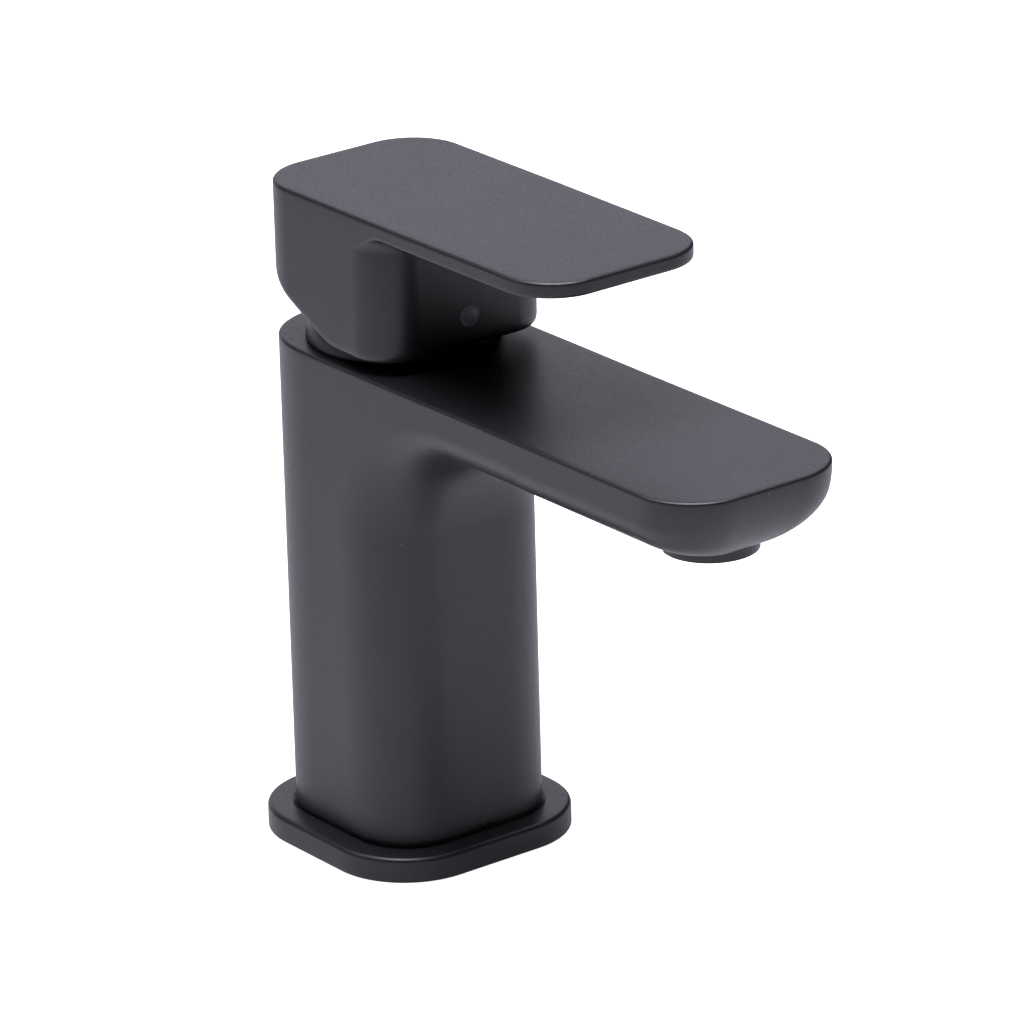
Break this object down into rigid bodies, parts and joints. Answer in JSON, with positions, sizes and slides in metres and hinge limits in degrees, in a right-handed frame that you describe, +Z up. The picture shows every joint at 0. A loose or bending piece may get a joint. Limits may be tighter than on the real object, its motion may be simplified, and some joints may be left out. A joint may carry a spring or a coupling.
{
  "type": "basin mixer faucet",
  "caption": "Single-lever basin mixer: rounded-square column, flat boat-shaped spout with aerator, flat lever on a hub, ceramic cartridge and deck clamp.",
  "frame": {"origin": "centre of the base plate's underside, on the deck and on the column's axis", "axes": "+Z up along the column, -Y the way the spout and lever point, +X to the right for someone facing the spout's tip"},
  "size_m": [0.0544, 0.1426, 0.1977],
  "materials": {
    "black_coat": "fine matt black powder coat on cast metal",
    "black_rubber": "matt moulded rubber",
    "grey_plastic": "satin moulded plastic",
    "dark_plastic": "satin moulded plastic",
    "white_plastic": "moulded acetal",
    "red_plastic": "moulded plastic",
    "disc_ceramic": "lapped alumina ceramic",
    "steel": "zinc-plated steel",
    "brass": "machined brass"
  },
  "bodies": {
    "faucet": {"faucet_body": "black_coat", "base_plate": "black_coat", "deck_seal": "black_rubber", "cartridge_base": "dark_plastic", "base_seals": "black_rubber", "disc_seals": "black_rubber", "fixed_disc": "disc_ceramic", "cartridge_housing": "dark_plastic", "housing_ring_seal": "black_rubber", "hot_limit_ring": "red_plastic", "cartridge_nut": "brass", "cover_dome": "black_coat", "aerator_housing": "dark_plastic", "aerator_insert": "white_plastic", "aerator_seal": "black_rubber", "mounting_stud": "steel"},
    "guide": {"swivel_guide": "white_plastic", "pivot_pin": "steel"},
    "lever": {"lever_handle": "black_coat", "stem": "brass", "handle_screw": "steel", "screw_cover": "dark_plastic", "marker_dot": "grey_plastic"},
    "disc": {"moving_disc": "disc_ceramic", "disc_driver": "white_plastic"},
    "clamp": {"clamp_gasket": "black_rubber", "clamp_plate": "steel", "clamp_nut": "brass"}
  },
  "joints": [
    {"name": "mix_swivel", "type": "hinge", "parent": "faucet", "child": "guide", "pos_m": [0, 0, 0.105], "axis": [0, 0, 1], "range_deg": [-45, 45]},
    {"name": "flow_lift", "type": "hinge", "parent": "guide", "child": "lever", "pos_m": [0, 0, 0.105], "axis": [-1, 0, 0], "range_deg": [0, 25]},
    {"name": "disc_slide", "type": "slide", "parent": "guide", "child": "disc", "axis": [0, -1, 0], "range_m": [0, 0.006]},
    {"name": "clamp_slide", "type": "slide", "parent": "faucet", "child": "clamp", "axis": [0, 0, 1], "range_m": [-0.018, 0.017]}
  ],
  "couplings": [
    {"joint": "disc_slide", "follows": "flow_lift", "m_per_rad": 0.0136}
  ]
}
